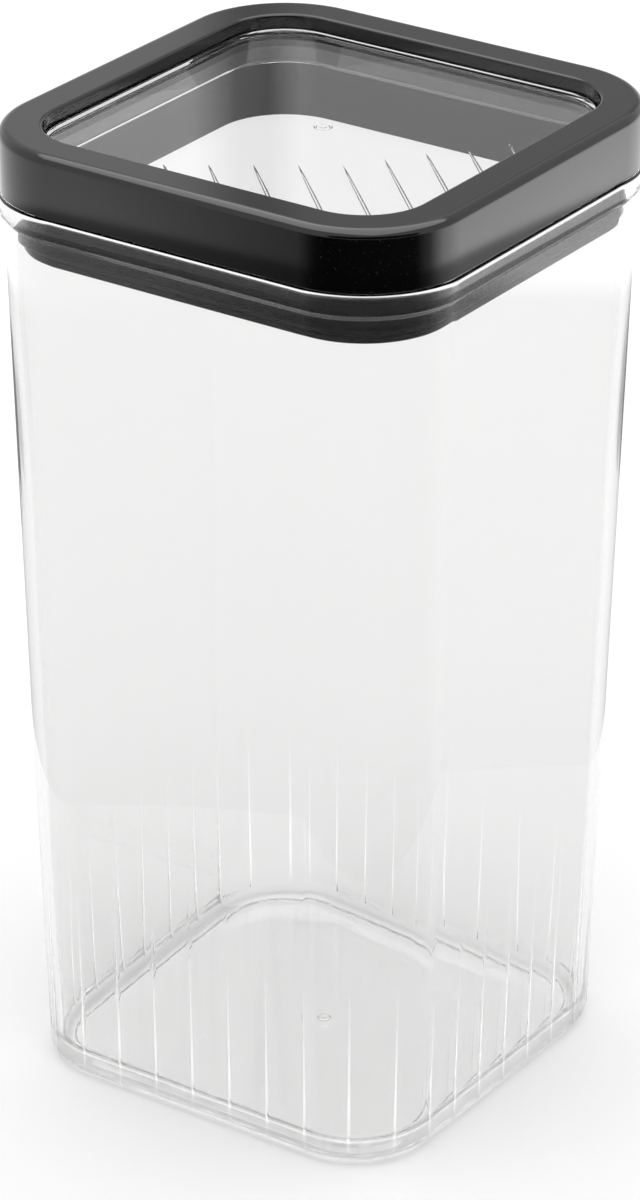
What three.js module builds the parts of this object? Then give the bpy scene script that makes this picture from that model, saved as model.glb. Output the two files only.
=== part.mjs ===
// A tall square food canister: a clear moulded jar with a fluted foot, closed by a push-in lid.
// The lid is a black frame around a clear window, with a plug ring that carries a finned seal.
// Millimetres, +Z up. The origin is the middle of the base, on the surface that the jar stands on.
import * as THREE from 'three';

// ---- driving dimensions -------------------------------------------------------------------
const GAP = 0.3;                    // clearance kept between pieces that touch
const LID_WIDTH = 100;
const TOTAL_HEIGHT = 200;
const LID_CORNER_CENTRE = 28.6;     // corner arcs of the lid are struck from (28.6, 28.6)
const FOOT_CORNER_CENTRE = 26.8;    // and those of the foot from (26.8, 26.8)

const JAR_RIM_Z = 187.3;            // top of the jar's rim
const JAR_WALL = 2.2;
const JAR_FOOT_HALF = 44.5;         // outer half-widths: at the foot, under the rim bead, and at the bead
const JAR_NECK_HALF = 49.2;
const BEAD_HALF = 50.3;
const BEAD_HEIGHT = 4.6;
const NECK_BORE_HALF = 47.1;        // the straight bore that the seal slides in
const NECK_BORE_DEPTH = 12.2;
const FLOOR_Z = 3.4;
const FLOOR_RECESS = 0.9;           // the underside is dished inside its standing ring
const STANDING_RING_INNER = 39.6;
const FOOT_EDGE_RADIUS = 3;
const FLOOR_FILLET = 3.5;

const FLUTES_PER_SIDE = 6;          // shallow concave flutes along a straight side of the foot
const FLUTES_PER_CORNER = 3;        // and around a corner
const FLUTE_TOP_Z = 62;             // they fade out at this height
const FLUTE_DEPTH = 0.4;            // and are this deep at the foot
const FLUTE_FACETS = 4;

const FRAME_SHELL = 2;              // wall of the lid frame
const FRAME_EDGE_RADIUS = 1.9;
const OPENING_HALF = 41.6;          // the frame's opening over the window
const OPENING_EDGE_RADIUS = 0.6;

const WINDOW_RECESS = 2.8;          // depth of the window below the frame's top
const WINDOW_THICKNESS = 2.5;
const WINDOW_FLANGE_HALF = 45;
const WINDOW_FLANGE = 2.1;
const WINDOW_SKIRT = 1.7;
const WINDOW_SKIRT_Z = 188.2;

const PLUG_FOOT_Z = 176.4;          // lowest edge of the plug inside the neck
const PLUG_INNER_HALF = 43;
const PLUG_WALL = 1.6;
const PLUG_LIP_HALF = 45.5;
const PLUG_LIP_HEIGHT = 1.4;
const PLUG_FLANGE = 2;

const SEAL_BODY = 0.8;
const FIN_COUNT = 3;
const FIN_PITCH = 2.9;
const FIN_HALF = NECK_BORE_HALF - GAP;

const SMOOTH_ARC_STEPS = 8;         // facets of each corner of the lid's pieces

// ---- rounded-square sections --------------------------------------------------------------
// A place on the outline is a number: one unit per flute, counter-clockwise from the start
// of the +X side. Each quarter is a straight side followed by a corner arc.
const CELLS_PER_QUARTER = FLUTES_PER_SIDE + FLUTES_PER_CORNER;
const CELLS = 4 * CELLS_PER_QUARTER;

function outlinePoint(place, half, centre, inset = 0) {
  const quarter = Math.floor(place / CELLS_PER_QUARTER);
  const along = place - quarter * CELLS_PER_QUARTER;
  const point = new THREE.Vector2();
  if (along <= FLUTES_PER_SIDE) {
    point.set(half - inset, centre * (2 * along / FLUTES_PER_SIDE - 1));
  } else {
    const angle = (along - FLUTES_PER_SIDE) / FLUTES_PER_CORNER * Math.PI / 2;
    const radius = half - centre - inset;
    point.set(centre + radius * Math.cos(angle), centre + radius * Math.sin(angle));
  }
  return point.rotateAround(new THREE.Vector2(), quarter * Math.PI / 2);
}

function smoothOutline(station) {
  const points = [];
  for (let quarter = 0; quarter < 4; quarter += 1) {
    const start = quarter * CELLS_PER_QUARTER;
    points.push(outlinePoint(start, station.half, station.centre));
    for (let step = 0; step < SMOOTH_ARC_STEPS; step += 1) {
      const place = start + FLUTES_PER_SIDE + FLUTES_PER_CORNER * step / SMOOTH_ARC_STEPS;
      points.push(outlinePoint(place, station.half, station.centre));
    }
  }
  return points;
}

// Each flute is a parabola between two sharp edges that lie on the plain outline.
function flutedOutline(station) {
  const points = [];
  for (let facet = 0; facet < CELLS * FLUTE_FACETS; facet += 1) {
    const across = (facet % FLUTE_FACETS) / FLUTE_FACETS;
    const inset = (station.fluteDepth ?? 0) * 4 * across * (1 - across);
    points.push(outlinePoint(facet / FLUTE_FACETS, station.half, station.centre, inset));
  }
  return points;
}

// ---- lofting ------------------------------------------------------------------------------
// Skins a list of stations, each a section at its own height. Stations run outwards along the
// underside, up the outside, and back inwards. A first and last station with half 0 close on the
// axis; otherwise the list closes on itself and makes a ring.
function loft(stations, outline) {
  const positions = [];
  const index = [];
  const loops = stations.map((station) => {
    const first = positions.length / 3;
    const points = station.half === 0 ? [new THREE.Vector2()] : outline(station);
    points.forEach((point) => positions.push(point.x, point.y, station.z));
    return { first, count: points.length };
  });
  const isRing = stations[0].half !== 0;
  const spans = isRing ? loops.length : loops.length - 1;
  for (let i = 0; i < spans; i += 1) {
    bridge(loops[i], loops[(i + 1) % loops.length], index);
  }
  const geometry = new THREE.BufferGeometry();
  geometry.setAttribute('position', new THREE.Float32BufferAttribute(positions, 3));
  geometry.setIndex(index);
  geometry.computeVertexNormals();
  return geometry;
}

function bridge(lower, upper, index) {
  const count = Math.max(lower.count, upper.count);
  for (let j = 0; j < count; j += 1) {
    const next = (j + 1) % count;
    if (lower.count > 1) {
      const tip = upper.count > 1 ? upper.first + next : upper.first;
      index.push(lower.first + j, lower.first + next, tip);
    }
    if (upper.count > 1) {
      const root = lower.count > 1 ? lower.first + j : lower.first;
      index.push(root, upper.first + next, upper.first + j);
    }
  }
}

// Stations along an arc in the section plane, angles in degrees from outwards towards up.
function arcStations(half, z, radius, from, to, steps, centre) {
  return Array.from({ length: steps + 1 }, (unused, step) => {
    const angle = THREE.MathUtils.degToRad(from + (to - from) * step / steps);
    return { half: half + radius * Math.cos(angle), z: z + radius * Math.sin(angle), centre };
  });
}

function lidStations(pairs) {
  return pairs.map(([half, z]) => ({ half, z, centre: LID_CORNER_CENTRE }));
}

// ---- jar ----------------------------------------------------------------------------------
const NECK_Z = JAR_RIM_Z - BEAD_HEIGHT;

function jarOuterHalf(z) {
  return THREE.MathUtils.mapLinear(z, 0, NECK_Z, JAR_FOOT_HALF, JAR_NECK_HALF);
}

function jarCentre(z) {
  return THREE.MathUtils.mapLinear(z, 0, JAR_RIM_Z, FOOT_CORNER_CENTRE, LID_CORNER_CENTRE);
}

function withFlute(station) {
  return { ...station, fluteDepth: FLUTE_DEPTH * Math.max(0, 1 - station.z / FLUTE_TOP_Z) };
}

function jarFoot() {
  const edgeHalf = jarOuterHalf(FOOT_EDGE_RADIUS) - FOOT_EDGE_RADIUS;
  const edge = arcStations(edgeHalf, FOOT_EDGE_RADIUS, FOOT_EDGE_RADIUS, -90, 0, 4, FOOT_CORNER_CENTRE);
  const [contact, ...rounded] = edge;
  return [
    { half: 0, z: FLOOR_RECESS, centre: FOOT_CORNER_CENTRE },
    { half: STANDING_RING_INNER - FLOOR_RECESS, z: FLOOR_RECESS, centre: FOOT_CORNER_CENTRE },
    { half: STANDING_RING_INNER, z: 0, centre: FOOT_CORNER_CENTRE },
    contact,
    ...rounded.map(withFlute),
  ];
}

function jarOutside() {
  const station = (z) => ({ half: jarOuterHalf(z), z, centre: jarCentre(z) });
  return [station(FLUTE_TOP_Z), station(NECK_Z)];
}

function jarRim() {
  const beadEase = 0.7;
  const lowerEase = 1.3;
  const innerEase = 0.5;
  const centre = LID_CORNER_CENTRE;
  return [
    { half: BEAD_HALF - 0.3, z: NECK_Z + lowerEase / 2, centre },
    { half: BEAD_HALF, z: NECK_Z + lowerEase, centre },
    ...arcStations(BEAD_HALF - beadEase, JAR_RIM_Z - beadEase, beadEase, 0, 90, 3, centre),
    { half: NECK_BORE_HALF + innerEase, z: JAR_RIM_Z, centre },
    { half: NECK_BORE_HALF, z: JAR_RIM_Z - innerEase, centre },
  ];
}

function jarInside() {
  const innerHalf = (z) => jarOuterHalf(z) - JAR_WALL;
  const boreFoot = JAR_RIM_Z - NECK_BORE_DEPTH;
  const step = 0.5;
  const filletTop = FLOOR_Z + FLOOR_FILLET;
  const filletHalf = innerHalf(filletTop) - FLOOR_FILLET;
  const floorCentre = jarCentre(filletTop);
  return [
    { half: NECK_BORE_HALF, z: boreFoot, centre: jarCentre(boreFoot) },
    { half: innerHalf(boreFoot - step), z: boreFoot - step, centre: jarCentre(boreFoot - step) },
    ...arcStations(filletHalf, filletTop, FLOOR_FILLET, 0, -90, 4, floorCentre),
    { half: 0, z: FLOOR_Z, centre: floorCentre },
  ];
}

function jarGeometry() {
  return loft([...jarFoot(), ...jarOutside(), ...jarRim(), ...jarInside()], flutedOutline);
}

// ---- lid frame ----------------------------------------------------------------------------
const FRAME_FOOT_Z = JAR_RIM_Z + GAP;
const WINDOW_TOP_Z = TOTAL_HEIGHT - WINDOW_RECESS;
const WINDOW_UNDER_Z = WINDOW_TOP_Z - WINDOW_THICKNESS;
const WINDOW_FLANGE_TOP_Z = WINDOW_TOP_Z - 1.7;
const FRAME_LIP_Z = WINDOW_FLANGE_TOP_Z + GAP;

// An upside-down gutter: outer skirt, flat top, and an inner lip that holds the window down.
function frameGeometry() {
  const outerHalf = LID_WIDTH / 2;
  const roofZ = TOTAL_HEIGHT - FRAME_SHELL;
  const skirtInner = outerHalf - FRAME_SHELL;
  const lipOuter = OPENING_HALF + FRAME_SHELL;
  const edgeHalf = outerHalf - FRAME_EDGE_RADIUS;
  const edgeZ = TOTAL_HEIGHT - FRAME_EDGE_RADIUS;
  const openingHalf = OPENING_HALF + OPENING_EDGE_RADIUS;
  const openingZ = TOTAL_HEIGHT - OPENING_EDGE_RADIUS;
  return loft([
    ...lidStations([[skirtInner, FRAME_FOOT_Z], [outerHalf, FRAME_FOOT_Z]]),
    ...arcStations(edgeHalf, edgeZ, FRAME_EDGE_RADIUS, 0, 90, 5, LID_CORNER_CENTRE),
    ...arcStations(openingHalf, openingZ, OPENING_EDGE_RADIUS, 90, 180, 2, LID_CORNER_CENTRE),
    ...lidStations([
      [OPENING_HALF, FRAME_LIP_Z],
      [lipOuter, FRAME_LIP_Z],
      [lipOuter, roofZ],
      [skirtInner, roofZ],
    ]),
  ], smoothOutline);
}

// ---- lid window ---------------------------------------------------------------------------
// A clear tray turned upside down: raised panel, trapped flange, and a short skirt in the plug.
const WINDOW_SKIRT_OUTER = PLUG_INNER_HALF - GAP;

function windowGeometry() {
  const panelHalf = OPENING_HALF - GAP;
  const edgeEase = 0.4;
  const skirtInner = WINDOW_SKIRT_OUTER - WINDOW_SKIRT;
  const flangeUnderZ = WINDOW_FLANGE_TOP_Z - WINDOW_FLANGE;
  return loft(lidStations([
    [0, WINDOW_UNDER_Z],
    [skirtInner - edgeEase, WINDOW_UNDER_Z],
    [skirtInner, WINDOW_UNDER_Z - edgeEase],
    [skirtInner, WINDOW_SKIRT_Z],
    [WINDOW_SKIRT_OUTER, WINDOW_SKIRT_Z],
    [WINDOW_SKIRT_OUTER, flangeUnderZ],
    [WINDOW_FLANGE_HALF, flangeUnderZ],
    [WINDOW_FLANGE_HALF, WINDOW_FLANGE_TOP_Z],
    [panelHalf, WINDOW_FLANGE_TOP_Z],
    [panelHalf, WINDOW_TOP_Z - edgeEase],
    [panelHalf - edgeEase, WINDOW_TOP_Z],
    [0, WINDOW_TOP_Z],
  ]), smoothOutline);
}

// ---- plug ring ----------------------------------------------------------------------------
// The wall that goes down into the neck. Its top clamps the window, its flange closes the frame
// over the rim, and its bottom lip keeps the seal on.
const PLUG_OUTER_HALF = PLUG_INNER_HALF + PLUG_WALL;
const PLUG_TOP_Z = WINDOW_FLANGE_TOP_Z - WINDOW_FLANGE - GAP;
const PLUG_FLANGE_Z = JAR_RIM_Z + 2 * GAP;

function plugGeometry() {
  const flangeHalf = LID_WIDTH / 2 - FRAME_SHELL - GAP;
  const footEase = 0.6;
  const lipTop = PLUG_FOOT_Z + PLUG_LIP_HEIGHT;
  return loft(lidStations([
    [PLUG_INNER_HALF + footEase, PLUG_FOOT_Z],
    [PLUG_LIP_HALF - footEase, PLUG_FOOT_Z],
    [PLUG_LIP_HALF, PLUG_FOOT_Z + footEase],
    [PLUG_LIP_HALF, lipTop],
    [PLUG_OUTER_HALF, lipTop],
    [PLUG_OUTER_HALF, PLUG_FLANGE_Z],
    [flangeHalf, PLUG_FLANGE_Z],
    [flangeHalf, PLUG_FLANGE_Z + PLUG_FLANGE],
    [PLUG_OUTER_HALF, PLUG_FLANGE_Z + PLUG_FLANGE],
    [PLUG_OUTER_HALF, PLUG_TOP_Z],
    [PLUG_INNER_HALF, PLUG_TOP_Z],
    [PLUG_INNER_HALF, PLUG_FOOT_Z + footEase],
  ]), smoothOutline);
}

// ---- seal ring ----------------------------------------------------------------------------
// A soft ring stretched round the plug, with thin fins that wipe the neck.
function sealGeometry() {
  const innerHalf = PLUG_OUTER_HALF + GAP;
  const bodyHalf = innerHalf + SEAL_BODY;
  const footZ = PLUG_FOOT_Z + PLUG_LIP_HEIGHT + GAP;
  const topZ = PLUG_FLANGE_Z - GAP;
  const fins = Array.from({ length: FIN_COUNT }, (unused, fin) => {
    const z = footZ + 1 + fin * FIN_PITCH;
    return [[bodyHalf, z - 0.5], [FIN_HALF, z - 0.1], [FIN_HALF, z + 0.5], [bodyHalf, z + 0.9]];
  });
  return loft(lidStations([
    [innerHalf, footZ],
    [bodyHalf, footZ],
    ...fins.flat(),
    [bodyHalf, topZ],
    [innerHalf, topZ],
  ]), smoothOutline);
}

// ---- assembly -----------------------------------------------------------------------------
const clearPlastic = new THREE.MeshStandardMaterial({
  color: 0xeef1f0, roughness: 0.05, metalness: 0, transparent: true, opacity: 0.3,
});
const clearWindow = new THREE.MeshStandardMaterial({
  color: 0xe6eae9, roughness: 0.05, metalness: 0, transparent: true, opacity: 0.3,
});
const blackGloss = new THREE.MeshStandardMaterial({ color: 0x141415, roughness: 0.22, metalness: 0 });
const blackPlug = new THREE.MeshStandardMaterial({ color: 0x1a1a1b, roughness: 0.35, metalness: 0 });
const blackSilicone = new THREE.MeshStandardMaterial({ color: 0x161617, roughness: 0.55, metalness: 0 });

function piece(name, geometry, material) {
  const mesh = new THREE.Mesh(geometry, material);
  mesh.name = name;
  return mesh;
}

const lid = new THREE.Group();
lid.add(
  piece('lid_frame', frameGeometry(), blackGloss),
  piece('lid_window', windowGeometry(), clearWindow),
  piece('plug_ring', plugGeometry(), blackPlug),
  piece('seal_ring', sealGeometry(), blackSilicone),
);

const canister = new THREE.Group();
canister.add(piece('jar', jarGeometry(), clearPlastic), lid);

export default canister;
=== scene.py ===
# Looks of a tall clear canister with a push-in lid: a fluted jar, a black lid frame around a clear
# window, and a plug ring with a finned seal. Metres, in the frame of the packed model.
import math

import bmesh
import bpy
from mathutils import Matrix, Vector


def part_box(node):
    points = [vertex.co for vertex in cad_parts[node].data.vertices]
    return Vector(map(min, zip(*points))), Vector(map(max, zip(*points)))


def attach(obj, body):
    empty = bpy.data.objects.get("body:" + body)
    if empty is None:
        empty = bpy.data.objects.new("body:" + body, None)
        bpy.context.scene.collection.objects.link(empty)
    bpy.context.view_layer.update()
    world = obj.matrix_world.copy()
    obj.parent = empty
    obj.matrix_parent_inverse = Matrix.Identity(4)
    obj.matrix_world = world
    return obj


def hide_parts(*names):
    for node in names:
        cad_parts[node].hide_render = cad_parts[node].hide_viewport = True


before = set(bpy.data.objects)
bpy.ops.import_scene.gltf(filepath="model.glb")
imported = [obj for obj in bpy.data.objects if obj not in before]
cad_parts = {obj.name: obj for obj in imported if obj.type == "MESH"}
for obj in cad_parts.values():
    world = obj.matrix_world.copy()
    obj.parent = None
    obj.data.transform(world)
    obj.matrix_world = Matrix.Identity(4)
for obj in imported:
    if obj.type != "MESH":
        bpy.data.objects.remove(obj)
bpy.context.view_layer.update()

bl_info = {
    "name": "Lidded Canister",
    "version": (1, 0, 0),
    "blender": (4, 5, 0),
    "location": "View3D > Sidebar > Canister",
    "description": "Builds a clear canister with a framed window lid, and a plain studio around it",
    "category": "Object",
}

MM = 0.001

JAR_LOW, JAR_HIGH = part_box("jar")
FRAME_LOW, FRAME_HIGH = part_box("lid_frame")
WINDOW_LOW, WINDOW_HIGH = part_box("lid_window")
PLUG_LOW, PLUG_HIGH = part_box("plug_ring")
SEAL_LOW, SEAL_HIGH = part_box("seal_ring")

LID_CORNER_CENTRE = 28.6 * MM      # corner arcs of the lid and the rim are struck from here
FOOT_CORNER_CENTRE = 26.8 * MM     # and those of the foot from here
FLUTES_PER_SIDE = 6
FLUTES_PER_CORNER = 3
CELLS_PER_QUARTER = FLUTES_PER_SIDE + FLUTES_PER_CORNER
SWEEP_HALF = 40 * MM               # half-width of the path that ring sections are swept along
GATE_MARK = (                      # radius and height of the moulding mark in a panel's middle
    (0, 0.05 * MM), (0.5 * MM, 0.05 * MM), (0.7 * MM, 0), (1.2 * MM, 0), (1.4 * MM, 0.12 * MM),
    (1.6 * MM, 0.12 * MM), (1.8 * MM, 0), (2.4 * MM, 0),
)
GATE_REACH = 5 * MM                # sections narrower than this are round, not square
BORE_EASE_FOOT = 102 * MM          # height down to which the neck bore eases into the wall
RIB_SHARE = 0.06                   # share of a flute's width that each side of a rib is drawn on
CREST_PAINTED_HIGHLIGHT = 0.6                   # painted highlight: a light line glowing along the rib crests
CREST_START = 2.5 * MM             # height at which that line begins, and the height it takes to do so
CREST_RISE = 3 * MM
FOOT_SOFT_TOP = 6 * MM             # the foot lets some light straight through below this,
FOOT_SOFT_FADE = 3 * MM            # from nothing over this height
FOOT_SOFTNESS = 0.22               # to this share
JAR_GLOSS = 0.35                   # tint of the reflections on the jar and on the window
WINDOW_GLOSS = 0.85
JAR_RIPPLE = 0.02 * MM
WINDOW_RIPPLE = 0.012 * MM
FLOOR_HEIGHT = -0.3 * MM
FLOOR_RADIUS = 6
FLOOR_PAINTED_GLOW = 0.7                   # painted pool of light: the floor glows under the jar, and at this share further out
FLOOR_PAINTED_GLOW_OUTSIDE = 0.25
FLOOR_PAINTED_GLOW_REACH = 16.4 * MM       # where the bright part ends, out from the foot's corner centres
FLOOR_PAINTED_GLOW_FADE = 2 * MM
CARD_SCALE = 8                     # brightest reflection card
CARD_HEIGHT = -0.2 * MM            # height of the card over the floor
CARD_STEP_REACH = 0.40             # the floor card is dimmer nearer than this, over this width,
CARD_STEP_WIDTH = 0.03
CARD_NEAR_SHARE = 0.3              # down to this share
REAR_START = -145.6                # bearing in degrees of the rear wall's gradient, and its span
REAR_SPAN = 2.4
MAX_BOUNCES = 48
GLASS_BOUNCES = 32
REAR_LEVELS = ((0, 0.56), (0.15, 0.6), (0.4, 0.24), (0.65, 0.3), (1, 0.82))
FLOOR_LEVELS = (                   # reflected floor: degrees from the front towards the right, level
    (-180, 1.4), (-120, 1.4), (-60, 1.3), (-37, 1.3), (-33, 0.95), (-26, 0.4), (-12, 0.04),
    (0, 0.0), (84, 0.03), (98, 0.5), (114, 2.4), (128, 2.8), (148, 2.6), (165, 1.9), (180, 1.4),
)


# ---- properties -----------------------------------------------------------------------------
def length_property(name, description, default):
    return bpy.props.FloatProperty(name=name, description=description, default=default,
                                   unit="LENGTH", subtype="DISTANCE", precision=5)


def colour_property(name, description, default):
    return bpy.props.FloatVectorProperty(name=name, description=description, default=default,
                                         subtype="COLOR", size=3, min=0, max=1)


def share_property(name, description, default):
    return bpy.props.FloatProperty(name=name, description=description, default=default,
                                   subtype="FACTOR", min=0, max=1)


class JarSizes(bpy.types.PropertyGroup):
    """Sizes of the clear jar."""
    wall: length_property("Wall", "Thickness of the moulded wall", 2.2 * MM)
    foot_half: length_property("Foot half-width", "Half-width of the outer wall at its foot", 44.5 * MM)
    neck_half: length_property("Neck half-width", "Half-width of the outer wall under the rim bead",
                               49.2 * MM)
    bead_height: length_property("Bead height", "Height of the bead around the rim", 4.6 * MM)
    bore_half: length_property("Bore half-width", "Half-width of the straight neck bore", 47.1 * MM)
    bore_depth: length_property("Bore depth", "Depth of the straight neck bore", 12.2 * MM)
    floor_top: length_property("Floor top", "Height of the inside floor", 3.4 * MM)
    floor_recess: length_property("Floor recess", "Depth of the dished underside", 0.9 * MM)
    ring_inner: length_property("Standing ring", "Inner half-width of the ring the jar stands on",
                                39.6 * MM)
    foot_radius: length_property("Foot radius", "Radius of the outer edge of the foot", 3 * MM)
    floor_fillet: length_property("Floor fillet", "Radius between the floor and the inner wall",
                                  3.5 * MM)
    flute_top: length_property("Flute top", "Height at which the flutes fade out", 62 * MM)
    flute_depth: length_property("Flute depth", "Depth of a flute at the foot", 0.15 * MM)
    rib_height: length_property("Rib height", "Height of the slender rib between two flutes",
                                0.1 * MM)
    rib_top: length_property("Rib top", "Height at which the ribs run out", 44 * MM)
    ridge_width: length_property("Ridge width", "Width of the ridge between flutes at the foot",
                                 0.9 * MM)


class LidSizes(bpy.types.PropertyGroup):
    """Sizes of the lid and its seal."""
    shell: length_property("Shell", "Wall of the lid frame", 2 * MM)
    edge_radius: length_property("Edge radius", "Radius of the frame's outer top edge", 1.9 * MM)
    opening_half: length_property("Opening half-width", "Half-width of the opening over the window",
                                  41.6 * MM)
    opening_radius: length_property("Opening radius", "Radius of the opening's top edge", 0.6 * MM)
    window_thickness: length_property("Window thickness", "Thickness of the clear panel", 2.5 * MM)
    groove_pitch: length_property("Groove pitch", "Distance between the panel's slanting grooves",
                                  8.2 * MM)
    groove_width: length_property("Groove width", "Width of a groove at the panel's edge", 0.9 * MM)
    groove_depth: length_property("Groove depth", "Depth of a groove at the panel's edge", 0.28 * MM)
    groove_length: length_property("Groove length", "Reach of the longest groove from the edge",
                                   38 * MM)
    groove_count: bpy.props.IntProperty(name="Grooves", description="Number of slanting grooves",
                                        default=11, min=1, max=15)
    fin_count: bpy.props.IntProperty(name="Seal fins", description="Number of fins on the seal",
                                     default=3, min=1, max=5)
    fin_pitch: length_property("Fin pitch", "Distance from one seal fin to the next", 2.9 * MM)


class Finishes(bpy.types.PropertyGroup):
    """Colours and roughness of the materials."""
    clear_tint: colour_property("Clear plastic", "Tint of the moulded clear plastic",
                                (0.9, 0.9, 0.898))
    window_tint: colour_property("Window", "Tint of the window in the lid", (0.99, 0.994, 0.99))
    frame_colour: colour_property("Frame", "Colour of the glossy lid frame", (0.0015, 0.0015, 0.0016))
    plug_colour: colour_property("Plug", "Colour of the satin plug ring", (0.003, 0.003, 0.0032))
    seal_colour: colour_property("Seal", "Colour of the silicone seal", (0.002, 0.002, 0.0021))
    frame_roughness: share_property("Frame roughness", "Roughness of the lid frame", 0.11)
    plug_roughness: share_property("Plug roughness", "Roughness of the plug ring", 0.3)
    seal_roughness: share_property("Seal roughness", "Roughness of the seal", 0.28)


class StudioSettings(bpy.types.PropertyGroup):
    """The camera, the floor and the lights."""
    azimuth: bpy.props.FloatProperty(name="Azimuth", description="Camera's turn from the front",
                                     default=math.radians(34.374), subtype="ANGLE")
    elevation: bpy.props.FloatProperty(name="Elevation", description="Camera's height angle",
                                       default=math.radians(26.008), subtype="ANGLE")
    roll: bpy.props.FloatProperty(name="Roll", description="Camera's tilt about its own line of sight",
                                  default=math.radians(0.188), subtype="ANGLE")
    distance: length_property("Distance", "Camera's distance from the point it looks at",
                              1065.7 * MM)
    aim: bpy.props.FloatVectorProperty(name="Aim", description="Point that the camera looks at",
                                       default=(-0.24 * MM, -0.16 * MM, 96.82 * MM),
                                       subtype="XYZ_LENGTH", unit="LENGTH")
    lens: bpy.props.FloatProperty(name="Lens", description="Focal length of the camera",
                                  default=161.94, unit="CAMERA")
    floor_colour: colour_property("Floor", "Colour of the floor", (0.93, 0.93, 0.93))
    sky: bpy.props.FloatProperty(name="Backdrop", description="Strength of the white surroundings",
                                 default=1.02, min=0)


# ---- node building --------------------------------------------------------------------------
class Wire:
    """A node's output that can be written in arithmetic. Each operation adds one Math node."""

    def __init__(self, bench, socket):
        self.bench = bench
        self.socket = socket

    def _math(self, operation, first, second):
        return self.bench.node("ShaderNodeMath", {"operation": operation}, [first, second])

    def __add__(self, other):
        return self._math("ADD", self, other)

    def __radd__(self, other):
        return self._math("ADD", other, self)

    def __sub__(self, other):
        return self._math("SUBTRACT", self, other)

    def __rsub__(self, other):
        return self._math("SUBTRACT", other, self)

    def __mul__(self, other):
        return self._math("MULTIPLY", self, other)

    def __rmul__(self, other):
        return self._math("MULTIPLY", other, self)

    def __truediv__(self, other):
        return self._math("DIVIDE", self, other)

    def __rtruediv__(self, other):
        return self._math("DIVIDE", other, self)

    def __pow__(self, other):
        return self._math("POWER", self, other)

    def at_least(self, other):
        return self._math("MAXIMUM", self, other)

    def at_most(self, other):
        return self._math("MINIMUM", self, other)


class Bench:
    """Adds nodes to one tree: settings first, then the values or links of the inputs."""

    def __init__(self, tree):
        self.tree = tree

    def node(self, kind, settings=None, inputs=(), output=0):
        made = self.tree.nodes.new(kind)
        for name, value in (settings or {}).items():
            if name == "stops":
                self._set_stops(made.color_ramp, value)
            else:
                setattr(made, name, value)
        pairs = inputs.items() if isinstance(inputs, dict) else enumerate(inputs)
        for key, value in pairs:
            self.feed(made.inputs[key], value)
        return Wire(self, made.outputs[output]) if made.outputs else made

    def feed(self, socket, value):
        if isinstance(value, Wire):
            self.tree.links.new(value.socket, socket)
        elif value is not None:
            socket.default_value = value

    @staticmethod
    def _set_stops(ramp, stops):
        while len(ramp.elements) < len(stops):
            ramp.elements.new(0.5)
        for element, (position, shade) in zip(ramp.elements, stops):
            element.position = position
            element.color = (shade, shade, shade, 1)


def geometry_bench(name, inputs):
    """A new Geometry Nodes tree with named inputs; returns its bench, its input wires and the tree."""
    tree = bpy.data.node_groups.new(name, "GeometryNodeTree")
    tree.interface.new_socket("Geometry", in_out="INPUT", socket_type="NodeSocketGeometry")
    for label, kind in inputs:
        tree.interface.new_socket(label, in_out="INPUT", socket_type=kind)
    tree.interface.new_socket("Geometry", in_out="OUTPUT", socket_type="NodeSocketGeometry")
    bench = Bench(tree)
    entry = tree.nodes.new("NodeGroupInput")
    wires = {socket.name: Wire(bench, socket) for socket in entry.outputs if socket.name}
    return bench, wires, tree


def finish_tree(bench, geometry, material):
    """Ends a tree in Realize Instances and Set Material."""
    real = bench.node("GeometryNodeRealizeInstances", None, {"Geometry": geometry})
    painted = bench.node("GeometryNodeSetMaterial", None, {"Geometry": real, "Material": material})
    bench.node("NodeGroupOutput", None, {"Geometry": painted})


def run_tree(holder, tree, values):
    """Runs a tree on an object with the given input values and keeps the result as a plain mesh."""
    modifier = holder.modifiers.new(tree.name, "NODES")
    modifier.node_group = tree
    for item in tree.interface.items_tree:
        if item.in_out == "INPUT" and item.name in values:
            modifier[item.identifier] = values[item.name]
    graph = bpy.context.evaluated_depsgraph_get()
    result = bpy.data.meshes.new_from_object(holder.evaluated_get(graph))
    holder.modifiers.remove(modifier)
    old = holder.data
    holder.data = result
    bpy.data.meshes.remove(old)


# ---- meshes ---------------------------------------------------------------------------------
def new_object(name, mesh):
    piece = bpy.data.objects.new(name, mesh)
    bpy.context.scene.collection.objects.link(piece)
    return piece


def close_and_shade(piece, crease):
    """Merges doubles, turns the faces outwards, and shades smooth up to the crease angle."""
    mesh = piece.data
    work = bmesh.new()
    work.from_mesh(mesh)
    bmesh.ops.remove_doubles(work, verts=work.verts, dist=1e-7)
    bmesh.ops.recalc_face_normals(work, faces=work.faces)
    if work.calc_volume(signed=True) < 0:
        bmesh.ops.reverse_faces(work, faces=work.faces)
    work.to_mesh(mesh)
    work.free()
    mesh.shade_smooth()
    mesh.set_sharp_from_angle(angle=crease)
    keep_flats_crisp(mesh)


def keep_flats_crisp(mesh):
    """Creases every edge between a level face and a tilted one, so flat panels shade flat."""
    work = bmesh.new()
    work.from_mesh(mesh)
    work.normal_update()
    for edge in work.edges:
        level = [abs(face.normal.z) > 0.99999 for face in edge.link_faces]
        if any(level) and not all(level):
            edge.smooth = False
    work.to_mesh(mesh)
    work.free()


def arc(half, z, radius, start, end, steps):
    """Section points along an arc; angles in degrees from outwards towards up."""
    points = []
    for step in range(steps + 1):
        angle = math.radians(start + (end - start) * step / steps)
        points.append((half + radius * math.cos(angle), z + radius * math.sin(angle)))
    return points


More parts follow.
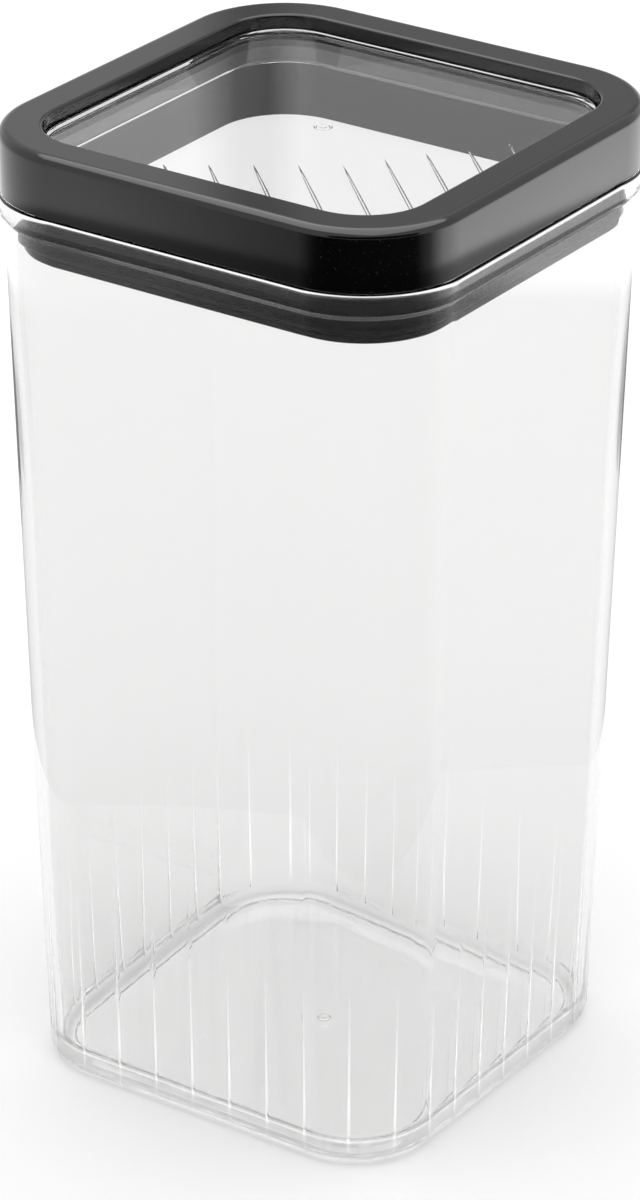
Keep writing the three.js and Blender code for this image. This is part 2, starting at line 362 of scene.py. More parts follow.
def outline_point(place, half, centre):
    """Point and outward direction at a place on a rounded square, one unit of place per flute."""
    quarter = int(place // CELLS_PER_QUARTER)
    along = place - quarter * CELLS_PER_QUARTER
    if along <= FLUTES_PER_SIDE:
        point = Vector((half, centre * (2 * along / FLUTES_PER_SIDE - 1), 0))
        outward = Vector((1, 0, 0))
    else:
        angle = (along - FLUTES_PER_SIDE) / FLUTES_PER_CORNER * math.pi / 2
        outward = Vector((math.cos(angle), math.sin(angle), 0))
        point = Vector((centre, centre, 0)) + outward * (half - centre)
    turn = Matrix.Rotation(quarter * math.pi / 2, 3, "Z")
    return turn @ point, turn @ outward


def outline_places(samples):
    """Places round the outline, the same samples of each flute's width in turn."""
    return [cell + share for cell in range(4 * CELLS_PER_QUARTER) for share in samples]


def loft(name, stations, places):
    """Skins sections (half, z, centre); a section with half 0 closes on the axis."""
    work = bmesh.new()
    loops = []
    for half, z, centre in stations:
        if half == 0:
            loops.append([work.verts.new((0, 0, z))])
            continue
        ring = []
        for place in places:
            point, _ = outline_point(place, half, centre)
            ring.append(work.verts.new((point.x, point.y, z)))
        loops.append(ring)
    for lower, upper in zip(loops, loops[1:]):
        skin_between(work, lower, upper)
    mesh = bpy.data.meshes.new(name)
    work.to_mesh(mesh)
    work.free()
    return mesh


def skin_between(work, lower, upper):
    count = max(len(lower), len(upper))
    for j in range(count):
        following = (j + 1) % count
        corners = []
        if len(lower) > 1:
            corners += [lower[j], lower[following]]
        else:
            corners += [lower[0]]
        if len(upper) > 1:
            corners += [upper[following], upper[j]]
        else:
            corners += [upper[0]]
        work.faces.new(corners)


# ---- ring pieces swept along the rounded square -----------------------------------------------
def sweep_tree(material):
    """Sweeps a closed section, drawn as (outwards, downwards), round the lid's rounded square."""
    bench, wires, tree = geometry_bench("Rounded square sweep", [
        ("Path half-width", "NodeSocketFloat"),
        ("Corner radius", "NodeSocketFloat"),
        ("Corner steps", "NodeSocketInt"),
        ("Rows", "NodeSocketInt"),
        ("Row pitch", "NodeSocketFloat"),
    ])
    width = wires["Path half-width"] * 2
    square = bench.node("GeometryNodeCurvePrimitiveQuadrilateral", None,
                        {"Width": width, "Height": width})
    path = bench.node("GeometryNodeFilletCurve", {"mode": "POLY"}, {
        "Curve": square, "Radius": wires["Corner radius"], "Count": wires["Corner steps"]})
    section = bench.node("GeometryNodeMeshToCurve", None, [wires["Geometry"]])
    ring = bench.node("GeometryNodeCurveToMesh", None, {"Curve": path, "Profile Curve": section})
    step = bench.node("ShaderNodeCombineXYZ", None, {"Z": wires["Row pitch"]})
    rows = bench.node("GeometryNodeMeshLine", {"mode": "OFFSET"},
                      {"Count": wires["Rows"], "Offset": step})
    stacked = bench.node("GeometryNodeInstanceOnPoints", None, {"Points": rows, "Instance": ring})
    finish_tree(bench, stacked, material)
    return tree


def sweep(name, section, material, rows=1, row_pitch=0.0, corner_steps=20):
    """A ring piece from its section, a closed list of (half-width, height)."""
    mesh = bpy.data.meshes.new(name)
    count = len(section)
    mesh.from_pydata([(half - SWEEP_HALF, -z, 0) for half, z in section],
                     [(i, (i + 1) % count) for i in range(count)], [])
    holder = new_object(name, mesh)
    run_tree(holder, sweep_tree(material), {
        "Path half-width": SWEEP_HALF,
        "Corner radius": SWEEP_HALF - LID_CORNER_CENTRE,
        "Corner steps": corner_steps,
        "Rows": rows,
        "Row pitch": row_pitch,
    })
    return holder


# ---- materials ------------------------------------------------------------------------------
def new_material(name):
    material = bpy.data.materials.new(name)
    material.use_nodes = True
    material.node_tree.nodes.clear()
    return material, Bench(material.node_tree)


def surface(bench, values):
    """The Principled shader and the output, with values or links by socket name."""
    shader = bench.node("ShaderNodeBsdfPrincipled", None, values)
    bench.node("ShaderNodeOutputMaterial", None, {"Surface": shader})


def reach_beyond(bench, centre):
    """Distance in plan from a square of that half-width: even all along a rounded outline."""
    folded = bench.node("ShaderNodeVectorMath", {"operation": "ABSOLUTE"}, [object_point(bench)])
    beyond = bench.node("ShaderNodeVectorMath", {"operation": "SUBTRACT"},
                        [folded, (centre, centre, 9)])
    kept = bench.node("ShaderNodeVectorMath", {"operation": "MAXIMUM"}, [beyond, (0, 0, 0)])
    return bench.node("ShaderNodeVectorMath", {"operation": "LENGTH"}, [kept], 1)


def foot_softness(bench):
    """Share of straight-through light at the foot, where the thick edge would trap it and go black."""
    height = bench.node("ShaderNodeSeparateXYZ", None, [object_point(bench)], "Z")
    return ((FOOT_SOFT_TOP - height) / FOOT_SOFT_FADE).at_least(0).at_most(1) * FOOT_SOFTNESS


def object_point(bench):
    return bench.node("ShaderNodeTexCoord", None, (), "Object")


def noise(bench, scale, detail=3.0, stretch=(1, 1, 1)):
    place = bench.node("ShaderNodeMapping", None, {"Vector": object_point(bench), "Scale": stretch})
    return bench.node("ShaderNodeTexNoise", None, {"Vector": place, "Scale": scale, "Detail": detail})


def bump(bench, height, distance, strength=1.0):
    return bench.node("ShaderNodeBump", None, {
        "Height": height, "Distance": distance, "Strength": strength})


def clear_material(name, tint, ripple, gloss, softness=None):
    """Clear moulded plastic: water-clear, with slow moulding ripple, a trace of haze and a painted
    highlight glowing along the rib crests.

    softness, a function of the bench, gives the share of light that goes straight through.
    """
    material, bench = new_material(name)
    slow = noise(bench, 22, 2.0, (1, 1, 0.35))
    haze = noise(bench, 140, 4.0)
    # painted highlight: the rib crests glow faintly, by a mask that the flute tree stores
    crest_highlight = bench.node("ShaderNodeAttribute", {"attribute_name": "rib_crest"}, (), "Fac")
    pale = bench.node("ShaderNodeCombineColor", None, [crest_highlight * CREST_PAINTED_HIGHLIGHT] * 3)
    values = {
        "Base Color": (*tint, 1),
        "Emission Color": pale,
        "Emission Strength": 1.0,
        "Roughness": 0.002 + 0.012 * haze ** 3,
        "IOR": 1.57,
        "Specular Tint": (*[gloss] * 3, 1),
        "Transmission Weight": 1.0,
        "Normal": bump(bench, slow, ripple),
    }
    if softness:
        values["Alpha"] = 1 - softness(bench)
    surface(bench, values)
    return material


def gloss_material(name, colour, roughness):
    """Black moulded gloss: a fine skin texture, faint wiping marks and dust along the top."""
    material, bench = new_material(name)
    skin = noise(bench, 900, 2.0)
    wiping = noise(bench, 60, 5.0, (1, 1, 3))
    dust = noise(bench, 2600, 1.0)
    specks = (dust - 0.69).at_least(0) * 3
    shade = bench.node("ShaderNodeMix", {"data_type": "RGBA"}, {
        0: specks.at_most(0.5), 6: (*colour, 1), 7: (0.08, 0.08, 0.08, 1)}, 2)
    surface(bench, {
        "Base Color": shade,
        "Roughness": roughness * 0.75 + roughness * 0.6 * wiping,
        "IOR": 1.52,
        "Normal": bump(bench, skin, 0.01 * MM, 0.12),
    })
    return material


def satin_material(name, colour, roughness, grain):
    """Black satin plastic or rubber with a fine even grain."""
    material, bench = new_material(name)
    fine = noise(bench, grain, 3.0)
    cloud = noise(bench, 45, 3.0)
    shade = bench.node("ShaderNodeMix", {"data_type": "RGBA"}, {
        0: cloud, 6: (*colour, 1), 7: (*[1.8 * part for part in colour], 1)}, 2)
    surface(bench, {
        "Base Color": shade,
        "Roughness": roughness * 0.8 + roughness * 0.4 * fine,
        "IOR": 1.47,
        "Specular IOR Level": 0.05,
        "Normal": bump(bench, fine, 0.004 * MM, 0.1),
    })
    return material


def settle(piece, body, node):
    """Declares what a finished piece rides on, and hides the part it stands for."""
    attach(piece, body)
    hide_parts(node)


# ---- jar ------------------------------------------------------------------------------------
def flute_samples():
    """Shares of a flute's width at which the outline has a vertex, closer beside the ridges."""
    inner = [0.09, 0.14, 0.22, 0.32, 0.42, 0.5, 0.58, 0.68, 0.78, 0.86, 0.91]
    rib = [RIB_SHARE * 0.2, RIB_SHARE * 0.6, RIB_SHARE]
    return [0.0] + rib + inner + [1 - part for part in reversed(rib)]


def jar_stations(sizes):
    """The jar's section from the middle of the underside, up the outside, and down the inside."""
    rim = JAR_HIGH.z
    neck = rim - sizes.bead_height

    def outer(z):
        return sizes.foot_half + (sizes.neck_half - sizes.foot_half) * z / neck

    def centre(z):
        return FOOT_CORNER_CENTRE + (LID_CORNER_CENTRE - FOOT_CORNER_CENTRE) * z / rim

    bead = JAR_HIGH.x
    radius = sizes.foot_radius
    fillet = sizes.floor_fillet
    fillet_top = sizes.floor_top + fillet
    bore_foot = rim - sizes.bore_depth
    ring = sizes.ring_inner
    section = [(half, sizes.floor_recess - lift) for half, lift in GATE_MARK]
    section += arc(ring - sizes.floor_recess, sizes.floor_recess * 0.55, sizes.floor_recess * 0.45,
                   90, 40, 3)
    section += [(ring, 0)]
    section += arc(outer(radius) - radius, radius, radius, -90, 0, 10)
    section += [(outer(z), z) for z in (12 * MM, 22 * MM, 32 * MM, 42 * MM, 52 * MM)]
    section += [(outer(z), z) for z in (sizes.flute_top, 102 * MM, 142 * MM, neck - 0.5 * MM)]
    section += [(bead - 0.45 * MM, neck + 0.35 * MM), (bead - 0.12 * MM, neck + 0.8 * MM),
                (bead, neck + 1.4 * MM)]
    section += arc(bead - 0.9 * MM, rim - 0.9 * MM, 0.9 * MM, 0, 90, 6)
    section += arc(sizes.bore_half + 0.5 * MM, rim - 0.5 * MM, 0.5 * MM, 90, 180, 6)
    ease_half = outer(BORE_EASE_FOOT) - sizes.wall
    for step in range(9):
        share = step / 8
        smooth = share * share * (3 - 2 * share)
        section.append((sizes.bore_half + (ease_half - sizes.bore_half) * smooth,
                        bore_foot + (BORE_EASE_FOOT - bore_foot) * share))
    section += [(outer(z) - sizes.wall, z) for z in (62 * MM, 30 * MM)]
    section += arc(outer(fillet_top) - sizes.wall - fillet, fillet_top, fillet, 0, -90, 9)
    section += [(0, sizes.floor_top)]
    return [(half, z, centre(z) if half > GATE_REACH else 0) for half, z in section]


def mark_flutes(mesh, sizes):
    """Stores where each outer-wall vertex is on its flute, for the flute tree to move."""
    share = mesh.attributes.new("flute_share", "FLOAT", "POINT")
    weight = mesh.attributes.new("flute_weight", "FLOAT", "POINT")
    outward = mesh.attributes.new("flute_outward", "FLOAT_VECTOR", "POINT")
    places = outline_places(flute_samples())
    stations = jar_stations(sizes)
    first = 0
    for row, (half, z, centre) in enumerate(stations):
        if half == 0:
            first += 1
            continue
        on_wall = 0 < z < sizes.flute_top and half > sizes.ring_inner and row < len(stations) // 2
        for k, place in enumerate(places):
            _, direction = outline_point(place, half, centre)
            share.data[first + k].value = place % 1
            outward.data[first + k].vector = direction
            weight.data[first + k].value = min(1, z / sizes.foot_radius) if on_wall else 0
        first += len(places)


def flute_tree(material):
    """Presses the flutes in: a shallow bowl between slender ribs that taper to points upwards, and
    stores a mask for the painted highlight along the rib crests.
    """
    bench, wires, tree = geometry_bench("Foot flutes", [
        ("Flute depth", "NodeSocketFloat"),
        ("Flute top", "NodeSocketFloat"),
        ("Rib height", "NodeSocketFloat"),
        ("Rib top", "NodeSocketFloat"),
        ("Ridge width", "NodeSocketFloat"),
        ("Flute width", "NodeSocketFloat"),
    ])

    def stored(name, kind="FLOAT"):
        return bench.node("GeometryNodeInputNamedAttribute", {"data_type": kind}, {"Name": name})

    position = bench.node("GeometryNodeInputPosition")
    split = bench.node("ShaderNodeSeparateXYZ", None, [position], "Z")
    fade = (1 - split / wires["Flute top"]).at_least(0)
    share = stored("flute_share")
    weight = stored("flute_weight")
    outward = stored("flute_outward", "FLOAT_VECTOR")
    nearness = share.at_most(1 - share)
    rise = (nearness / RIB_SHARE).at_most(1)
    bowl = 1 - (1 - nearness * 2) ** 2
    rib_fade = (1 - split / wires["Rib top"]).at_least(0)
    ribs = rise * rib_fade ** 2 * wires["Rib height"]
    bowls = bowl * fade ** 2 * wires["Flute depth"]
    inset = (ribs + bowls) * weight * -1
    rib = wires["Ridge width"] / wires["Flute width"] * rib_fade.at_least(0.35) * 0.5
    beside_rib = bench.node("ShaderNodeMath", {"operation": "LESS_THAN"}, [nearness, RIB_SHARE * 1.1])
    first_half = bench.node("ShaderNodeMath", {"operation": "LESS_THAN"}, [share, 0.5])
    draw_in = (rib / RIB_SHARE - 1) * nearness * beside_rib * (first_half * 2 - 1) * weight
    tangent = bench.node("ShaderNodeVectorMath", {"operation": "CROSS_PRODUCT"}, [(0, 0, 1), outward])
    along = bench.node("ShaderNodeVectorMath", {"operation": "SCALE"}, {
        0: tangent, "Scale": draw_in * wires["Flute width"]})
    inwards = bench.node("ShaderNodeVectorMath", {"operation": "SCALE"}, {
        0: outward, "Scale": inset})
    shift = bench.node("ShaderNodeVectorMath", {"operation": "ADD"}, [along, inwards])
    moved = bench.node("GeometryNodeSetPosition", None, {
        "Geometry": wires["Geometry"], "Offset": shift})
    # mask of the painted highlight along the rib crests, starting a little above the foot
    above_edge = ((split - CREST_START) / CREST_RISE).at_least(0).at_most(1)
    crest_highlight = (1 - nearness / RIB_SHARE).at_least(0) * rib_fade * above_edge * weight
    noted = bench.node("GeometryNodeStoreNamedAttribute", {"data_type": "FLOAT", "domain": "POINT"}, {
        "Geometry": moved, "Name": "rib_crest", "Value": crest_highlight})
    finish_tree(bench, noted, material)
    return tree


class CANISTER_OT_jar(bpy.types.Operator):
    """Builds the clear jar with its rim bead, neck bore, fluted foot and dished base"""
    bl_idname = "canister.jar"
    bl_label = "Build Jar"

    def execute(self, context):
        sizes = context.scene.canister_jar
        finishes = context.scene.canister_finishes
        material = clear_material("clear_plastic", finishes.clear_tint, JAR_RIPPLE, JAR_GLOSS,
                                  foot_softness)
        mesh = loft("jar_body", jar_stations(sizes), outline_places(flute_samples()))
        mark_flutes(mesh, sizes)
        piece = new_object("jar_body", mesh)
        run_tree(piece, flute_tree(material), {
            "Flute depth": sizes.flute_depth,
            "Flute top": sizes.flute_top,
            "Rib height": sizes.rib_height,
            "Rib top": sizes.rib_top,
            "Ridge width": sizes.ridge_width,
            "Flute width": 2 * FOOT_CORNER_CENTRE / FLUTES_PER_SIDE,
        })
        close_and_shade(piece, math.radians(24))
        settle(piece, "jar", "jar")
        return {"FINISHED"}


# ---- lid frame ------------------------------------------------------------------------------
class CANISTER_OT_lid_frame(bpy.types.Operator):
    """Builds the glossy black frame: outer skirt, flat top and the lip that holds the window"""
    bl_idname = "canister.lid_frame"
    bl_label = "Build Lid Frame"

    def execute(self, context):
        sizes = context.scene.canister_lid
        finishes = context.scene.canister_finishes
        material = gloss_material("black_gloss", finishes.frame_colour, finishes.frame_roughness)
        piece = sweep("lid_bezel", frame_section(sizes), material)
        close_and_shade(piece, math.radians(35))
        settle(piece, "lid", "lid_frame")
        return {"FINISHED"}


def frame_section(sizes):
    outer = FRAME_HIGH.x
    top = FRAME_HIGH.z
    foot = FRAME_LOW.z
    roof = top - sizes.shell
    skirt_inner = outer - sizes.shell
    lip_outer = sizes.opening_half + sizes.shell
    lip_foot = WINDOW_HIGH.z - 1.4 * MM
    foot_ease = 0.35 * MM
    section = [(skirt_inner, foot), (outer - foot_ease, foot)]
    section += arc(outer - foot_ease, foot + foot_ease, foot_ease, -60, 0, 3)
    section += arc(outer - sizes.edge_radius, top - sizes.edge_radius, sizes.edge_radius, 0, 90, 10)
    section += arc(sizes.opening_half + sizes.opening_radius, top - sizes.opening_radius,
                   sizes.opening_radius, 90, 180, 6)
    section += [(sizes.opening_half, lip_foot), (lip_outer, lip_foot)]
    section += [(lip_outer, roof), (skirt_inner, roof)]
    return section


# ---- lid window -----------------------------------------------------------------------------
def window_stations(sizes):
    """The clear tray: raised panel, trapped flange and short skirt, from under to top."""
    top = WINDOW_HIGH.z
    under = top - sizes.window_thickness
    ease = 0.4 * MM
    panel = sizes.opening_half - 0.3 * MM
    flange = WINDOW_HIGH.x
    flange_top = top - 1.7 * MM
    flange_under = flange_top - 2.1 * MM
    skirt_outer = 42.7 * MM
    skirt_inner = 41 * MM
    foot = WINDOW_LOW.z
    section = [(half, under - lift) for half, lift in GATE_MARK]
    section += arc(skirt_inner - 1 * MM, under - 1 * MM, 1 * MM, 90, 0, 5)
    section += [(skirt_inner, foot + ease), (skirt_inner + ease, foot), (skirt_outer - ease, foot)]
    section += [(skirt_outer, foot + ease), (skirt_outer, flange_under), (flange, flange_under)]
    section += [(flange, flange_top), (panel, flange_top), (panel, top - ease)]
    section += arc(panel - ease, top - ease, ease, 30, 90, 3)
    section += [(0, top)]
    return [(half, z, LID_CORNER_CENTRE if half > GATE_REACH else 0) for half, z in section]


def groove_tree(material):
    """Cuts slanting grooves that are deepest at the panel's edges and run out towards its middle."""
    bench, wires, tree = geometry_bench("Window grooves", [
        ("Panel half-width", "NodeSocketFloat"),
        ("Under face height", "NodeSocketFloat"),
        ("Groove count", "NodeSocketInt"),
        ("Groove pitch", "NodeSocketFloat"),
        ("Groove width", "NodeSocketFloat"),
        ("Groove depth", "NodeSocketFloat"),
        ("Groove length", "NodeSocketFloat"),
    ])
    reach = (wires["Groove count"] - 1) * wires["Groove pitch"] / 2
    begin = bench.node("ShaderNodeCombineXYZ", None, {"X": reach * -1})
    pace = bench.node("ShaderNodeCombineXYZ", None, {"X": wires["Groove pitch"]})
    line = bench.node("GeometryNodeMeshLine", {"mode": "OFFSET"}, {
        "Count": wires["Groove count"], "Start Location": begin, "Offset": pace})
    position = bench.node("GeometryNodeInputPosition")
    aside = bench.node("ShaderNodeMath", {"operation": "ABSOLUTE"},
                       [bench.node("ShaderNodeSeparateXYZ", None, [position], "X")])
    edge = wires["Panel half-width"] * math.sqrt(2) - aside
    share = (1 - aside / (reach * 1.15)).at_least(0.12)
    size = bench.node("ShaderNodeCombineXYZ", None, {
        "X": wires["Groove width"], "Y": wires["Groove length"] * share * 2,
        "Z": wires["Groove depth"] * 2})
    shift = bench.node("ShaderNodeCombineXYZ", None, {
        "Y": edge * -1, "Z": wires["Under face height"]})
    points = bench.node("GeometryNodeSetPosition", None, {"Geometry": line, "Offset": shift})
    lens = bench.node("GeometryNodeMeshUVSphere", None, {
        "Segments": 12, "Rings": 24, "Radius": 0.5})
    laid = bench.node("GeometryNodeInstanceOnPoints", None, {
        "Points": points, "Instance": lens, "Scale": size})
    turned = bench.node("GeometryNodeTransform", None, {
        "Geometry": laid, "Rotation": (0, 0, math.radians(45))})
    cutters = bench.node("GeometryNodeRealizeInstances", None, {"Geometry": turned})
    cut = bench.node("GeometryNodeMeshBoolean", {"operation": "DIFFERENCE", "solver": "EXACT"}, {
        "Mesh 1": wires["Geometry"], "Mesh 2": cutters})
    finish_tree(bench, cut, material)
    return tree


class CANISTER_OT_lid_window(bpy.types.Operator):
    """Builds the clear window with its flange, skirt and slanting grooves"""
    bl_idname = "canister.lid_window"
    bl_label = "Build Lid Window"

    def execute(self, context):
        sizes = context.scene.canister_lid
        finishes = context.scene.canister_finishes
        material = clear_material("clear_window", finishes.window_tint, WINDOW_RIPPLE,
                                  WINDOW_GLOSS)
        samples = [0.0, 0.25, 0.5, 0.75]
        mesh = loft("window_panel", window_stations(sizes), outline_places(samples))
        piece = new_object("window_panel", mesh)
        close_and_shade(piece, math.radians(35))
        run_tree(piece, groove_tree(material), {
            "Panel half-width": 41 * MM,
            "Under face height": WINDOW_HIGH.z - sizes.window_thickness,
            "Groove count": sizes.groove_count,
            "Groove pitch": sizes.groove_pitch,
            "Groove width": sizes.groove_width,
            "Groove depth": sizes.groove_depth,
            "Groove length": sizes.groove_length,
        })
        close_and_shade(piece, math.radians(22))
        settle(piece, "lid", "lid_window")
        return {"FINISHED"}


# ---- plug and seal --------------------------------------------------------------------------
def plug_section():
    inner = 43 * MM
    outer = 44.6 * MM
    lip = 45.5 * MM
    foot = PLUG_LOW.z
    top = PLUG_HIGH.z
    flange = PLUG_HIGH.x
    flange_foot = JAR_HIGH.z + 0.6 * MM
    section = arc(inner + 0.5 * MM, foot + 0.5 * MM, 0.5 * MM, 180, 270, 4)
    section += arc(lip - 0.6 * MM, foot + 0.6 * MM, 0.6 * MM, -90, 0, 5)
    section += arc(lip - 0.2 * MM, foot + 1.2 * MM, 0.2 * MM, 0, 90, 2)
    section += [(outer, foot + 1.4 * MM), (outer, flange_foot), (flange, flange_foot)]
    section += [(flange, flange_foot + 2 * MM), (outer, flange_foot + 2 * MM), (outer, top)]
    section += [(inner, top)]
    return section


class CANISTER_OT_plug_ring(bpy.types.Operator):
    """Builds the satin plug ring that goes down into the neck"""
    bl_idname = "canister.plug_ring"
    bl_label = "Build Plug Ring"

    def execute(self, context):
        finishes = context.scene.canister_finishes
        material = satin_material("black_satin", finishes.plug_colour, finishes.plug_roughness, 700)
        piece = sweep("plug_wall", plug_section(), material)
        close_and_shade(piece, math.radians(35))
        settle(piece, "lid", "plug_ring")
        return {"FINISHED"}


def seal_body_section():
    inner = 44.9 * MM
    body = 45.7 * MM
    ease = 0.25 * MM
    section = [(inner, SEAL_LOW.z)]
    section += arc(body - ease, SEAL_LOW.z + ease, ease, -90, 0, 3)
    section += arc(body - ease, SEAL_HIGH.z - ease, ease, 0, 90, 3)
    section += [(inner, SEAL_HIGH.z)]
    return section


def fin_section():
    """One fin: a root sunk into the seal's body and a rounded, slightly lifted tip."""
    root = 45.4 * MM
    tip = SEAL_HIGH.x
    z = SEAL_LOW.z + 1 * MM
    section = [(root, z + 0.9 * MM), (root, z - 0.6 * MM), (45.7 * MM, z - 0.45 * MM)]
    section += arc(tip - 0.3 * MM, z + 0.2 * MM, 0.3 * MM, -80, 80, 5)
    section += [(45.7 * MM, z + 0.8 * MM)]
    return section


class CANISTER_OT_seal_ring(bpy.types.Operator):
    """Builds the silicone seal and its fins"""
    bl_idname = "canister.seal_ring"
    bl_label = "Build Seal Ring"

    def execute(self, context):
        sizes = context.scene.canister_lid
        finishes = context.scene.canister_finishes
        material = satin_material("black_silicone", finishes.seal_colour, finishes.seal_roughness,
                                  1600)
        body = sweep("seal_body", seal_body_section(), material)
        fins = sweep("seal_fins", fin_section(), material, sizes.fin_count, sizes.fin_pitch)
        for piece in (body, fins):
            close_and_shade(piece, math.radians(40))
            settle(piece, "lid", "seal_ring")
        return {"FINISHED"}


# ---- studio ---------------------------------------------------------------------------------
def floor_material(colour):
    material, bench = new_material("studio_floor")
    cloud = noise(bench, 3, 2.0)
    shade = bench.node("ShaderNodeMix", {"data_type": "RGBA"}, {
        0: cloud, 6: (*[0.99 * part for part in colour], 1), 7: (*colour, 1)}, 2)
    # painted pool of light: the floor glows under the jar's foot and fades to a weaker even glow just
    # beyond it
    painted_glow = (FLOOR_PAINTED_GLOW_REACH - reach_beyond(bench, FOOT_CORNER_CENTRE)) / FLOOR_PAINTED_GLOW_FADE
    lit = bench.node("ShaderNodeMix", {"data_type": "RGBA"}, {
        0: painted_glow.at_least(0).at_most(1), 6: (*[FLOOR_PAINTED_GLOW_OUTSIDE] * 3, 1),
        7: (1, 1, 1, 1)}, 2)
    surface(bench, {"Base Color": shade, "Roughness": 0.9, "Specular IOR Level": 0.0,
                    "Emission Color": lit, "Emission Strength": FLOOR_PAINTED_GLOW})
    return material


def card_material(name, pattern):
    """An unlit card that glows by a pattern: a function of its bench that returns a brightness."""
    material, bench = new_material(name)
    brightness = pattern(bench)
    colour = bench.node("ShaderNodeCombineColor", None, [brightness] * 3)
    surface(bench, {
        "Base Color": (0, 0, 0, 1), "Roughness": 1.0, "Specular IOR Level": 0.0,
        "Emission Color": colour, "Emission Strength": CARD_SCALE})
    return material


def add_card(name, corners, pattern, through_glass=False):
    """A flat card that shows only in reflections, or through clear parts too."""
    mesh = bpy.data.meshes.new(name)
    count = len(corners)
    faces = [list(range(count))]
    if count > 4:
        half = count // 2
        faces = [[i, i + 1, count - 2 - i, count - 1 - i] for i in range(half - 1)]
    mesh.from_pydata(corners, [], faces)
    card = new_object(name, mesh)
    mesh.materials.append(card_material(name, pattern))
    mesh.materials[0].cycles.emission_sampling = "NONE"
    card.visible_camera = False
    card.visible_diffuse = False
    card.visible_transmission = through_glass
    card.visible_shadow = False


def even(brightness):
    """A pattern of one brightness."""
    return lambda bench: brightness / CARD_SCALE


def bearing(bench):
    """Direction of a point from the axis, in radians from the front towards the right."""
    point = object_point(bench)
    x = bench.node("ShaderNodeSeparateXYZ", None, [point], "X")
    y = bench.node("ShaderNodeSeparateXYZ", None, [point], "Y")
    return bench.node("ShaderNodeMath", {"operation": "ARCTAN2"}, [x, y * -1])


def round_the_floor(bench):
    """Brightness of the floor by direction: pale at the left, dark in front, brightest behind."""
    share = bearing(bench) / (2 * math.pi) + 0.5
    stops = [((angle + 180) / 360, level / CARD_SCALE) for angle, level in FLOOR_LEVELS]
    level = bench.node("ShaderNodeValToRGB", {"stops": stops}, [share])
    reach = bench.node("ShaderNodeVectorMath", {"operation": "LENGTH"}, [object_point(bench)], 1)
    step = (reach - CARD_STEP_REACH) / CARD_STEP_WIDTH
    return level * step.at_least(CARD_NEAR_SHARE).at_most(1)


def across_the_rear(bench):
    """Brightness of the rear wall: pale at both sides, darker in the middle."""
    share = (bearing(bench) * (180 / math.pi) - REAR_START) / REAR_SPAN
    stops = [(place, level / CARD_SCALE) for place, level in REAR_LEVELS]
    return bench.node("ShaderNodeValToRGB", {"stops": stops}, [share])


def ring_card(inner, outer, z, steps=64):
    """Corners of a level ring, out along one edge and back along the other."""
    turns = [2 * math.pi * step / steps for step in range(steps + 1)]
    near = [(inner * math.cos(turn), inner * math.sin(turn), z) for turn in turns]
    far = [(outer * math.cos(turn), outer * math.sin(turn), z) for turn in turns]
    return near + far[::-1]


def square_card(half, z):
    """Corners of a level square card."""
    return [(-half, -half, z), (half, -half, z), (half, half, z), (-half, half, z)]


def facing_card(azimuth, elevation, distance, width, height):
    """Corners of a rectangle that faces the object from a direction given in degrees."""
    turn = math.radians(azimuth)
    lift = math.radians(elevation)
    away = Vector((math.sin(turn) * math.cos(lift), -math.cos(turn) * math.cos(lift), math.sin(lift)))
    across = Vector((math.cos(turn), math.sin(turn), 0))
    up = away.cross(across)
    middle = Vector((0, 0, 190 * MM)) + away * distance
    signs = ((-1, -1), (1, -1), (1, 1), (-1, 1))
    return [middle + across * (a * width / 2) + up * (b * height / 2) for a, b in signs]


def add_floor(colour):
    mesh = bpy.data.meshes.new("studio_floor")
    work = bmesh.new()
    bmesh.ops.create_circle(work, cap_ends=True, segments=96, radius=FLOOR_RADIUS)
    work.to_mesh(mesh)
    work.free()
    mesh.transform(Matrix.Translation((0, 0, FLOOR_HEIGHT)))
    floor = new_object("studio_floor", mesh)
    mesh.materials.append(floor_material(colour))
    mesh.materials[0].cycles.emission_sampling = "NONE"


def add_camera(studio):
    back = Vector((math.sin(studio.azimuth) * math.cos(studio.elevation),
                   -math.cos(studio.azimuth) * math.cos(studio.elevation),
                   math.sin(studio.elevation)))
    level = Vector((math.cos(studio.azimuth), math.sin(studio.azimuth), 0))
    rise = back.cross(level)
    right = level * math.cos(studio.roll) + rise * math.sin(studio.roll)
    up = back.cross(right)
    data = bpy.data.cameras.new("studio_camera")
    data.lens = studio.lens
    data.clip_start = 0.05
    camera = bpy.data.objects.new("studio_camera", data)
    bpy.context.scene.collection.objects.link(camera)
    turn = Matrix((right, up, back)).transposed().to_4x4()
    camera.matrix_world = Matrix.Translation(Vector(studio.aim) + back * studio.distance) @ turn
    bpy.context.scene.camera = camera


def add_surroundings(strength):
    world = bpy.data.worlds.new("studio_world")
    world.use_nodes = True
    world.node_tree.nodes.clear()
    bench = Bench(world.node_tree)
    white = bench.node("ShaderNodeBackground", None, {"Color": (1, 1, 1, 1), "Strength": strength})
    bench.node("ShaderNodeOutputWorld", None, {"Surface": white})
    bpy.context.scene.world = world


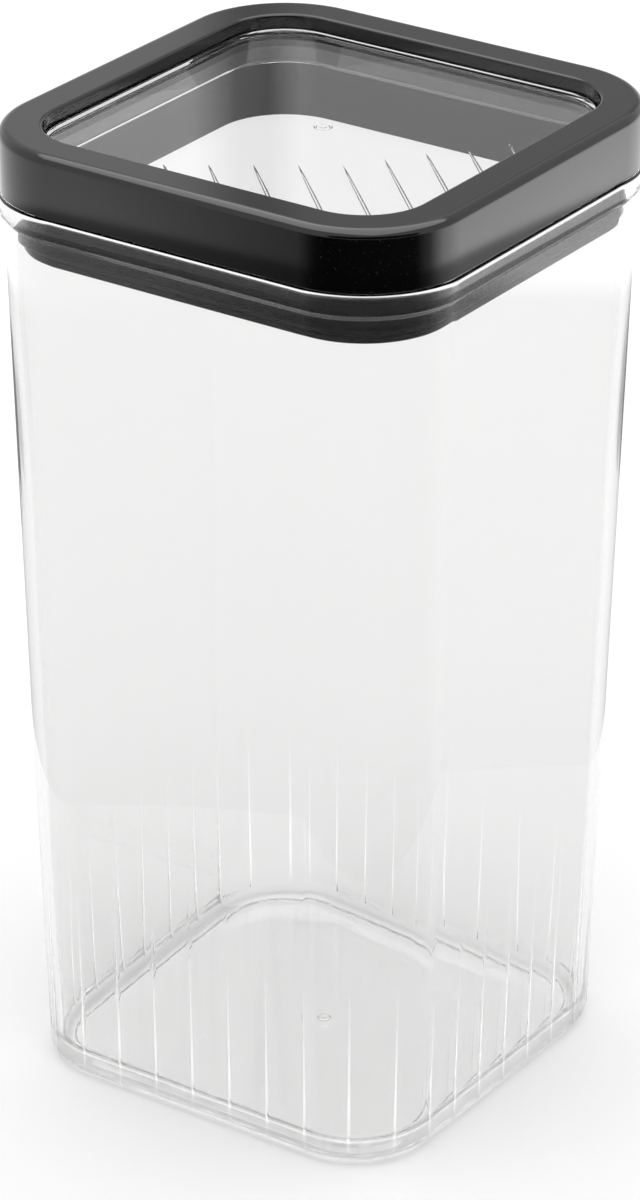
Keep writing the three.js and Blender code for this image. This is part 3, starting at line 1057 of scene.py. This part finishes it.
class CANISTER_OT_studio(bpy.types.Operator):
    """Builds the white floor, the soft surroundings, the reflection cards and the camera"""
    bl_idname = "canister.studio"
    bl_label = "Build Studio"

    def execute(self, context):
        studio = context.scene.canister_studio
        add_floor(studio.floor_colour)
        add_surroundings(studio.sky)
        add_card("floor_reflection", ring_card(0.16, 3.0, CARD_HEIGHT), round_the_floor)
        add_card("front_wall", facing_card(44, 12, 1.3, 2.4, 0.55), even(0))
        add_card("rear_wall", facing_card(214, 22, 1.6, 1.6, 0.6), across_the_rear,
                 through_glass=True)
        add_card("top_light", square_card(0.8, 1.15), even(3.5))
        add_camera(studio)
        context.scene.view_settings.view_transform = "Standard"
        context.scene.cycles.max_bounces = MAX_BOUNCES
        context.scene.cycles.transmission_bounces = GLASS_BOUNCES
        context.scene.cycles.glossy_bounces = GLASS_BOUNCES
        return {"FINISHED"}


# ---- panel and registration -------------------------------------------------------------------
SETTINGS = (
    ("canister_jar", JarSizes),
    ("canister_lid", LidSizes),
    ("canister_finishes", Finishes),
    ("canister_studio", StudioSettings),
)
OPERATORS = (
    CANISTER_OT_studio,
    CANISTER_OT_jar,
    CANISTER_OT_lid_frame,
    CANISTER_OT_lid_window,
    CANISTER_OT_plug_ring,
    CANISTER_OT_seal_ring,
)


class CANISTER_PT_panel(bpy.types.Panel):
    """Lists the canister's sizes, finishes and build steps"""
    bl_idname = "CANISTER_PT_panel"
    bl_label = "Lidded Canister"
    bl_space_type = "VIEW_3D"
    bl_region_type = "UI"
    bl_category = "Canister"

    def draw(self, context):
        for name, group in SETTINGS:
            box = self.layout.box()
            box.label(text=group.__doc__)
            for key in group.__annotations__:
                box.prop(getattr(context.scene, name), key)
        for operator in OPERATORS:
            self.layout.operator(operator.bl_idname)


def register():
    for name, group in SETTINGS:
        bpy.utils.register_class(group)
        setattr(bpy.types.Scene, name, bpy.props.PointerProperty(type=group))
    for operator in OPERATORS:
        bpy.utils.register_class(operator)
    bpy.utils.register_class(CANISTER_PT_panel)


def unregister():
    bpy.utils.unregister_class(CANISTER_PT_panel)
    for operator in reversed(OPERATORS):
        bpy.utils.unregister_class(operator)
    for name, group in reversed(SETTINGS):
        delattr(bpy.types.Scene, name)
        bpy.utils.unregister_class(group)


def main():
    register()
    bpy.ops.canister.studio()
    bpy.ops.canister.jar()
    bpy.ops.canister.lid_frame()
    bpy.ops.canister.lid_window()
    bpy.ops.canister.plug_ring()
    bpy.ops.canister.seal_ring()


if __name__ == "__main__":
    main()
